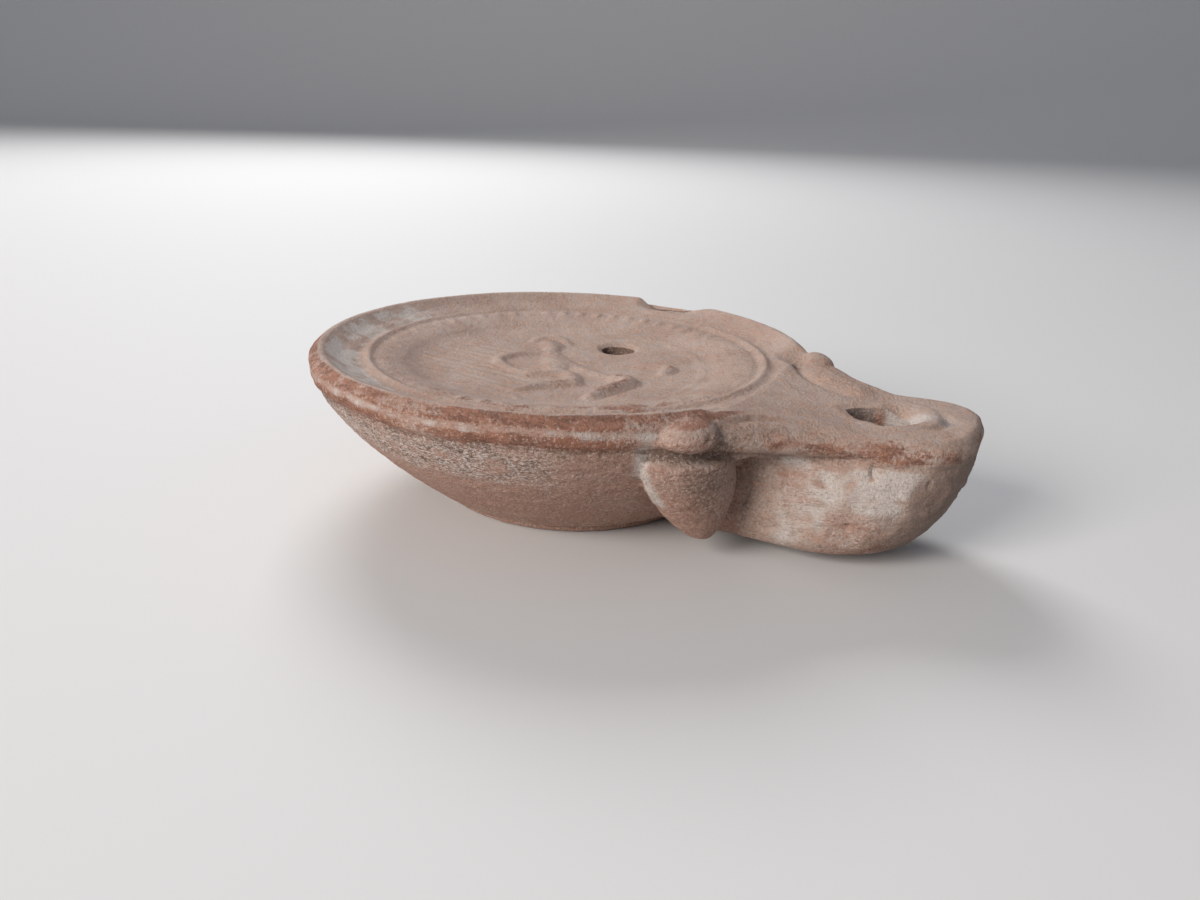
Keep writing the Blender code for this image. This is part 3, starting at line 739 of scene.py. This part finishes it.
def cavity():
    """The oil chamber, a wall's thickness inside the outer profile."""
    roof = [(r, z - WALL) for r, z in CHAMBER_ROOF]
    shoulder = CREST_HEIGHT - 1.3 - 1.2 * WALL
    levels = np.linspace(shoulder - WALL * 0.6, 2.2 * WALL - WALL * 0.6, 10)
    side = [(side_radius(z) - 1.1 * WALL, z) for z in levels]
    bottom = [(FOOT_RADIUS - WALL, 1.15 * WALL), (CENTRE_RADIUS, 1.1 * WALL)]
    points, faces = loft([circle(r, z, 72) for r, z in [*roof, (RIDGE_RADIUS, shoulder), *side, *bottom]])
    points[:, :2] += LEAN * points[:, 2:] / CREST_HEIGHT
    return points, faces


def holes():
    """The wick hole and the filling hole, which run into the hollow inside."""
    levels = np.linspace(-2.0 * WALL, WALL, 25)
    rows = [[(x, y, NOZZLE_TOP + level) for x, y in wick_outline()] for level in levels]
    filling = []
    for z in DISC_HEIGHT + levels:
        ring = circle(FILLING_HOLE_DIAMETER / 2, z, 40)
        ring[:, :2] = ring[:, :2] * [1.06, 0.94] + FILLING_HOLE_PLACE
        filling.append(ring)
    return [loft(rows), loft(filling)]


def cut(mesh, shell):
    """The mesh without a shell's space."""
    cutter_mesh = joined([shell])
    edit = bmesh.new()
    edit.from_mesh(cutter_mesh)
    bmesh.ops.recalc_face_normals(edit, faces=edit.faces)
    edit.to_mesh(cutter_mesh)
    edit.free()
    cutter = bpy.data.objects.new("cutter", cutter_mesh)
    bpy.context.scene.collection.objects.link(cutter)
    result = changed(mesh, "BOOLEAN", operation="DIFFERENCE", solver="MANIFOLD", object=cutter)
    bpy.data.objects.remove(cutter)
    return result


def cleaned(mesh):
    """The mesh's largest body, without doubled points or faces of no area."""
    edit = bmesh.new()
    edit.from_mesh(mesh)
    bmesh.ops.dissolve_degenerate(edit, edges=edit.edges, dist=MERGE_DISTANCE)
    bmesh.ops.remove_doubles(edit, verts=edit.verts, dist=MERGE_DISTANCE)
    left = set(edit.verts)
    largest = set()
    while left:
        reached = {left.pop()}
        waiting = list(reached)
        while waiting:
            point = waiting.pop()
            for other in [line.other_vert(point) for line in point.link_edges]:
                if other in left:
                    left.discard(other)
                    reached.add(other)
                    waiting.append(other)
        largest = max(largest, reached, key=len)
    others = [point for point in edit.verts if point not in largest]
    bmesh.ops.delete(edit, geom=others, context="VERTS")
    edit.to_mesh(mesh)
    edit.free()
    return mesh


# Worn slip, deposits, grime, soot, painted light and painted shade, each from 0 to 1 at every point

def band(value, low, high, soft):
    """1 between two values, with soft ends."""
    return ease((value - low) / soft + 0.5) * ease((high - value) / soft + 0.5)


def masks(points, facing, hollow, forward):
    """Where the finish differs from bare clay, and where light and shade are painted.

    hollow says how deep each point lies between its neighbours, and forward how far the broad surface round
    it faces the nozzle's tip.
    """
    x, y, z = points.T
    flat = points[:, :2]
    angle = bearing(points)
    up = facing_up(facing) * (z > 14.0)
    side = 1.0 - up
    rim = np.linalg.norm(flat - LEAN * z[:, None] / CREST_HEIGHT, axis=1)
    level = z - seam_wave(points)
    body_part = ease((NOZZLE_JOIN - x) / 3.0)
    nozzle_part = ease((x - (NOZZLE_JOIN + 1.0)) / 3.0)
    body_side, nozzle_side = side * body_part, side * nozzle_part
    blotch = fractal(points, 6.0, 51)
    fine = fractal(points, 1.5, 53)
    clumped = fractal(points * [1.0, 1.0, 1.6], 3.0, 59)
    patchy = fractal(points * [0.6, 1.0, 1.4], 4.5, 57)

    # Slip on the crest, under it, along the nozzle's edge, on the egg band and on the figure
    crest_band = ease((rim - 36.1) / 0.5) * ease((level - 21.3) / 0.5) * body_part
    slip = crest_band * (1.0 - spot(flat, NOTCH_PLACE, 6.0)) * (0.75 + 0.9 * blotch + 0.4 * fine)
    near_left = ease((-42.0 - angle) / 14.0)
    slip += band(level, 18.75, 20.75, 0.8) * body_side * (0.40 + 0.45 * near_left + 0.8 * blotch + 0.4 * fine)
    slip += 0.75 * band(z, 16.7, 18.9, 0.9) * nozzle_side * (0.7 + 1.5 * blotch + 0.4 * fine)
    slip = spots(points, SLIP_SPOTS, slip)
    near_eggs = bell(rim - 28.0, 2.6) * ease((-y - 9.0) / 8.0) * ease((x + 14.0) / 12.0)
    slip += 0.50 * up * near_eggs * (0.7 + 1.3 * fine)
    slip += 0.55 * up * ease((figure_relief(flat) - 0.30) / 0.7)
    slip += 0.30 * up * ease(blotch * 2.0 + 0.2) * ease((rim - 22.0) / 2.0) * ease((x + 6.0) / 10.0)

    # Pale deposit on the seam, shoulder, lower walls and keel's edge; painted light on the wick hole's rim
    seam = band(level + 0.5 * clumped, 20.4, 21.6, 0.8) * body_side
    pale = 0.9 * seam * (0.55 + 0.35 * fine + 0.50 * clumped)
    shoulder = up * band(rim, 30.8, 35.3, 1.2) * ease((4.0 - x) / 18.0) * ease((16.0 - y) / 14.0)
    pale += shoulder * (0.65 + 0.9 * blotch + 0.5 * fine)
    pale += 0.45 * up * band(rim, 35.6, 36.4, 0.5)
    pale += 0.35 * up * band(rim, 22.0, 31.0, 2.0) * ease(-x / 14.0) * ease(0.5 + blotch)
    crust = band(level, 12.4, 18.2, 2.4) * body_side * (0.15 + 0.85 * ease((-54.0 - angle) / 20.0))
    crust *= np.clip(1.0 + 1.3 * clumped, 0.0, 1.25)
    pale += 0.40 * crust + 0.30 * body_side * ease((12.0 - level) / 3.0) * (0.4 + 2.0 * clumped)
    wall_low = nozzle_side * ease((16.4 - z) / 1.2)
    pale += wall_low * np.clip(0.02 + 0.42 * ease((z - 8.0) / 5.0) + 1.9 * patchy + 0.6 * fine, 0.0, 1.0)
    crust += 0.45 * wall_low * np.clip(0.5 + 1.6 * clumped, 0.0, 1.0)
    pale += 0.95 * stroke(points, KEEL_EDGE, 1.4)
    pale += 0.55 * up * spot(flat, (54.6, 3.0), 3.4)
    pale = spots(points, PALE_SPOTS, pale)
    wick = ease((6.5 - np.linalg.norm(flat - WICK_MIDDLE, axis=1)) / 1.5) * (z > 12.0)
    # painted light: the wick hole's rim and walls towards the tip are made pale as if lit
    pale += wick * ease((x - 45.4) / 2.0) * ease((0.8 - facing[:, 2]) / 0.2)

    # Grime, and painted shade in hollows and creases; darker marks on the keel, below the crest and in the
    # filling hole
    # grime in the crust, and painted shade where the surface lies in a hollow between its neighbours
    grime_and_shade = crust * np.clip(0.30 - 1.2 * fine, 0.0, 0.8) + np.clip(hollow * 1.3, 0.0, 0.55)
    # a darker patch on the near keel's side towards the nozzle
    grime_and_shade += 0.66 * spot(points, (31.4, -22.0, 12.0), 4.2, (1.0, 1.0, 0.55)) * (x < 35.5)
    grime_and_shade += 0.22 * band(level, 12.5, 21.0, 2.0) * body_side * (0.7 + 0.8 * clumped)
    # a dark line along the groove below the crest, and a darker band under it
    grime_and_shade += 0.45 * bell(level - 18.6, 0.4) * body_side + 0.25 * band(level, 16.8, 18.6, 0.8) * body_side
    # painted shade: darker in the recess, the creases and the pits, by their depth
    grime_and_shade += 0.55 * np.minimum(hollows(points), 1.0)
    # painted shade: a dark spot in the dip of the near ridge beside its knob
    grime_and_shade += 0.5 * spot(points, (33.0, -19.6, 19.6), 2.0, (0.6, 0.6, 1.0))
    grime_and_shade += 0.25 * up * np.clip(1.2 * blotch, 0.0, 1.0) * ease((x - 30.0) / 6.0)
    # darker walls inside the filling hole
    filling = np.linalg.norm(flat - FILLING_HOLE_PLACE, axis=1) - FILLING_HOLE_DIAMETER / 2
    grime_and_shade += 1.1 * ease((0.6 - filling) / 0.4) * ease((0.7 - facing[:, 2]) / 0.3) * (z > 12.0)

    # soot and painted shade: the wick hole's walls on the body's side, where shade falls, are darkened; then
    # soot on the nozzle's lip
    soot_and_shade = 0.8 * wick * ease((46.6 - x) / 2.4) * ease((0.5 - facing[:, 2]) / 0.3)
    soot_and_shade += spot(points, (54.4, 2.4, 18.6), 2.0)
    ruddy = body_side * (0.75 + 0.4 * blotch) + nozzle_side * np.clip(0.35 - 1.6 * patchy, 0.0, 0.8)
    coarse = 0.40 + 0.50 * side * (1.0 - 0.5 * nozzle_part)
    # painted shade: the nozzle's end face, which faces away from the light, is darkened
    shade = ease((forward - 0.38) / 0.22) * ease((17.6 - z) / 1.2) * ease((x - 47.0) / 3.0)
    return {"slip": slip, "pale": pale * (1.0 - 0.8 * shade), "grime_and_shade": grime_and_shade, "soot_and_shade": soot_and_shade, "ruddy": ruddy,
            "coarse": coarse, "crust": crust, "shade": shade}


# Material

def clay_material():
    """Fired clay with worn slip, pale deposits, grime and soot, painted light and shade, and a fine grain."""
    material = bpy.data.materials.new("fired_clay_finish")
    material.use_nodes = True
    nodes, links = material.node_tree.nodes, material.node_tree.links
    shader = nodes["Principled BSDF"]
    shader.inputs["Roughness"].default_value = 0.82
    shader.inputs["Specular IOR Level"].default_value = 0.3
    where = nodes.new("ShaderNodeTexCoord").outputs["Object"]

    def grain(size, detail=4.0, roughness=0.6, stretch=(1.0, 1.0, 1.0)):
        turned = nodes.new("ShaderNodeMapping")
        turned.inputs["Scale"].default_value = stretch
        links.new(where, turned.inputs["Vector"])
        node = nodes.new("ShaderNodeTexNoise")
        links.new(turned.outputs["Vector"], node.inputs["Vector"])
        node.inputs["Scale"].default_value = 1.0 / (size * MM)
        node.inputs["Detail"].default_value = detail
        node.inputs["Roughness"].default_value = roughness
        return node.outputs[0]

    def math_node(operation, a, b):
        node = nodes.new("ShaderNodeMath")
        node.operation = operation
        for socket, value in zip(node.inputs, (a, b)):
            if isinstance(value, (int, float)):
                socket.default_value = value
            else:
                links.new(value, socket)
        return node.outputs[0]

    def stepped(value, low, high):
        node = nodes.new("ShaderNodeMapRange")
        node.interpolation_type = "SMOOTHSTEP"
        links.new(value, node.inputs["Value"])
        node.inputs["From Min"].default_value = low
        node.inputs["From Max"].default_value = high
        return node.outputs["Result"]

    def mixed(share, a, b):
        node = nodes.new("ShaderNodeMix")
        node.data_type = "RGBA"
        for name, value in (("Factor", share), ("A", a), ("B", b)):
            socket = node.inputs[name]
            if isinstance(value, tuple):
                socket.default_value = (*value, 1.0)
            else:
                links.new(value, socket)
        return node.outputs["Result"]

    def scaled(value, share):
        return math_node("MULTIPLY", value, share)

    def attribute(name):
        node = nodes.new("ShaderNodeAttribute")
        node.attribute_name = name
        return node.outputs["Fac"]

    def mask(name, rough, low, high, most):
        frayed = math_node("ADD", attribute(name), scaled(math_node("SUBTRACT", rough, 0.5), FRAYING))
        return scaled(stepped(frayed, low, high), most)

    broad, middle, fine = grain(8.0), grain(1.5, 6.0, 0.75), grain(0.42, 3.0, 0.7)
    tiny = grain(0.16, 2.0, 0.6)
    streaks = grain(0.9, 5.0, 0.8, (0.40, 0.40, 2.6))
    granular = scaled(math_node("ADD", math_node("ADD", middle, fine), streaks), 1.0 / 3.0)
    colour = mixed(stepped(broad, 0.36, 0.64), CLAY, CLAY_LIGHT)
    colour = mixed(scaled(stepped(middle, 0.46, 0.68), 0.80), colour, CLAY_WARM)
    colour = mixed(scaled(stepped(streaks, 0.52, 0.36), 0.45), colour, CLAY_GREY)
    colour = mixed(mask("ruddy", granular, 0.1, 0.9, 0.85), colour, RUDDY)
    slip = mask("slip", granular, 0.25, 0.90, 0.80)
    colour = mixed(slip, colour, SLIP)
    stained = grain(1.7, 5.0, 0.78, (0.55, 0.55, 1.6))
    dark_slip = math_node("MULTIPLY", slip, scaled(stepped(stained, 0.48, 0.58), 0.80))
    colour = mixed(dark_slip, colour, SLIP_DARK)
    # pale deposit, and painted light on the wick hole's walls towards the tip
    colour = mixed(mask("pale", granular, 0.35, 0.90, 0.80), colour, DEPOSIT_AND_LIGHT)
    # grime, and painted shade in hollows, creases and pits
    colour = mixed(mask("grime_and_shade", granular, 0.30, 1.05, 0.80), colour, GRIME_AND_SHADE)
    # soot, and painted shade inside the wick hole
    colour = mixed(mask("soot_and_shade", granular, 0.25, 1.0, 0.75), colour, SOOT_AND_SHADE)
    crusty = grain(0.32, 4.0, 0.8, (0.6, 0.6, 1.7))
    coarse, crust = attribute("coarse"), attribute("crust")
    specks = ((fine, 0.52, 0.68, coarse, 0.60, DARK_SPECK), (fine, 0.47, 0.32, coarse, 0.45, PALE_SPECK),
              (tiny, 0.52, 0.66, coarse, 0.40, DARK_SPECK), (streaks, 0.56, 0.68, coarse, 0.40, DARK_SPECK),
              (crusty, 0.50, 0.57, crust, 0.85, PALE_CRUST), (crusty, 0.46, 0.40, crust, 0.80, DARK_SPECK))
    for source, low, high, amount, most, tint in specks:
        share = math_node("MULTIPLY", stepped(source, low, high), scaled(amount, most))
        colour = mixed(share, colour, tint)
    # painted shade on the nozzle's end face
    colour = mixed(scaled(attribute("shade"), 0.66), colour, SHADE)
    links.new(colour, shader.inputs["Base Color"])
    bump = nodes.new("ShaderNodeBump")
    bump.inputs["Strength"].default_value = 1.0
    bump.inputs["Distance"].default_value = GRAIN_DEPTH * MM
    height = math_node("ADD", math_node("ADD", middle, scaled(fine, 0.55)), scaled(tiny, 0.16))
    links.new(math_node("SUBTRACT", height, scaled(streaks, 0.35)), bump.inputs["Height"])
    links.new(bump.outputs["Normal"], shader.inputs["Normal"])
    return material


# The lamp

def sculpted():
    """The outside of the lamp with all its relief, before the hollow is cut."""
    shells = [body(), nozzle(), deck()]
    for knob, axes, ridge in ((FAR_KNOB, FAR_AXES, FAR_RIDGE), (NEAR_KNOB, NEAR_AXES, NEAR_RIDGE)):
        outward = math.copysign(KNOB_BEARING, knob[1])
        shells += [keel(knob), tube(smooth_path(ridge, 60)), ellipsoid(knob, axes, outward)]
    mesh = changed(joined(shells), "REMESH", mode="VOXEL", voxel_size=VOXEL)
    near = Neighbours(mesh)
    place(mesh, near.smoothed(positions(mesh), SMOOTHING))
    points, facing = positions(mesh), normals(mesh)
    points = points + facing * surface_relief(points, facing)[:, None]
    points[:, 2] = np.clip(points[:, 2], 0.0, CREST_HEIGHT)
    place(mesh, near.smoothed(points, 1))
    return mesh


def lamp():
    """The finished lamp."""
    mesh = sculpted()
    share = TRIANGLES / sum(len(face.vertices) - 2 for face in mesh.polygons)
    if share < 1.0:
        mesh = changed(mesh, "DECIMATE", ratio=share)
    for shell in (cavity(), nozzle(WALL, 10, 20), *holes()):
        mesh = cut(mesh, shell)
    mesh = cleaned(mesh)
    points, facing = positions(mesh), normals(mesh)
    near = Neighbours(mesh)
    hollow = np.sum((near.mean(points) - points) * facing, axis=1)
    hollow = near.smoothed(hollow, HOLLOW_ROUNDS, 0.5, 0.5) * HOLLOW_GAIN
    forward = near.smoothed(facing[:, 0], FORWARD_ROUNDS, 0.5, 0.5)
    for name, values in masks(points, facing, hollow, forward).items():
        layer = mesh.attributes.new(name, "FLOAT", "POINT")
        layer.data.foreach_set("value", np.clip(values, 0.0, 1.0).astype(np.float32))
    low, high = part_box("oil_lamp")
    place(mesh, np.clip(positions(mesh) * MM, np.array(low), np.array(high)))
    mesh.shade_smooth()
    mesh.set_sharp_from_angle(angle=math.radians(SHARP_ANGLE))
    mesh.materials.clear()
    mesh.materials.append(clay_material())
    item = bpy.data.objects.new("lamp_surface", mesh)
    bpy.context.scene.collection.objects.link(item)
    return item


# Stage, light and camera

def plain_material(name, colour, roughness):
    """A plain matt finish for the stage."""
    material = bpy.data.materials.new(name)
    material.use_nodes = True
    shader = material.node_tree.nodes["Principled BSDF"]
    shader.inputs["Base Color"].default_value = (*colour, 1.0)
    shader.inputs["Roughness"].default_value = roughness
    return material


def floor():
    """A pale floor that sweeps up into a backdrop behind the lamp."""
    start = STAGE_BACK - STAGE_BEND
    profile = [(-STAGE_HALF, 0.0), (start, 0.0)]
    for a in np.linspace(0.1, 1.57, 14):
        profile.append((start + STAGE_BEND * math.sin(a), STAGE_BEND - STAGE_BEND * math.cos(a)))
    profile.append((STAGE_BACK, STAGE_HALF))
    points = [(x, y, z) for x in (-STAGE_HALF, STAGE_HALF) for y, z in profile]
    count = len(profile)
    faces = [(i, i + 1, count + i + 1, count + i) for i in range(count - 1)]
    mesh = bpy.data.meshes.new("floor")
    mesh.from_pydata(points, [], faces)
    mesh.shade_smooth()
    mesh.materials.append(plain_material("stage_paper", STAGE_COLOUR, 0.7))
    item = bpy.data.objects.new("floor", mesh)
    item.rotation_euler.z = math.radians(CAMERA_HEADING)
    bpy.context.scene.collection.objects.link(item)


def area_light(name, place_at, target, size, power, colour):
    """A soft square light aimed at a place."""
    light = bpy.data.lights.new(name, "AREA")
    light.size = size
    light.energy = power
    light.color = colour
    item = bpy.data.objects.new(name, light)
    item.location = place_at
    item.rotation_euler = (Vector(target) - Vector(place_at)).to_track_quat("-Z", "Y").to_euler()
    bpy.context.scene.collection.objects.link(item)


def studio():
    """A soft light from the near left, a weaker one from behind on the left, and a dim bluish surround."""
    world = bpy.data.worlds.new("studio")
    world.use_nodes = True
    background = world.node_tree.nodes["Background"]
    background.inputs["Color"].default_value = (*WORLD_COLOUR, 1.0)
    background.inputs["Strength"].default_value = WORLD_STRENGTH
    bpy.context.scene.world = world
    for light in LIGHTS:
        area_light(*light)


def camera():
    """The camera, at the height and heading that the lamp is seen from."""
    data = bpy.data.cameras.new("camera")
    data.lens = CAMERA_LENS
    data.clip_start = 0.005
    item = bpy.data.objects.new("camera", data)
    turn = (Matrix.Rotation(math.radians(CAMERA_HEADING), 4, "Z")
            @ Matrix.Rotation(math.radians(CAMERA_TILT), 4, "X")
            @ Matrix.Rotation(math.radians(CAMERA_ROLL), 4, "Z"))
    item.matrix_world = Matrix.Translation(CAMERA_PLACE) @ turn
    bpy.context.scene.collection.objects.link(item)
    bpy.context.scene.camera = item


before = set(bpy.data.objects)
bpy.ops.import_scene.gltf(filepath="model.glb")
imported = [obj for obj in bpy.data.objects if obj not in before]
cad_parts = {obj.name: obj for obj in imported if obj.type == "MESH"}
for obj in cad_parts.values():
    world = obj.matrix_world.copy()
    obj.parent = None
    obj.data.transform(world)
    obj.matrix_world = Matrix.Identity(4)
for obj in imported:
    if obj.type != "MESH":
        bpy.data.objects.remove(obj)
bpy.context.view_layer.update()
surface = lamp()
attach(surface, "root")
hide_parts("oil_lamp")
floor()
studio()
camera()
bpy.context.scene.view_settings.view_transform = "Standard"
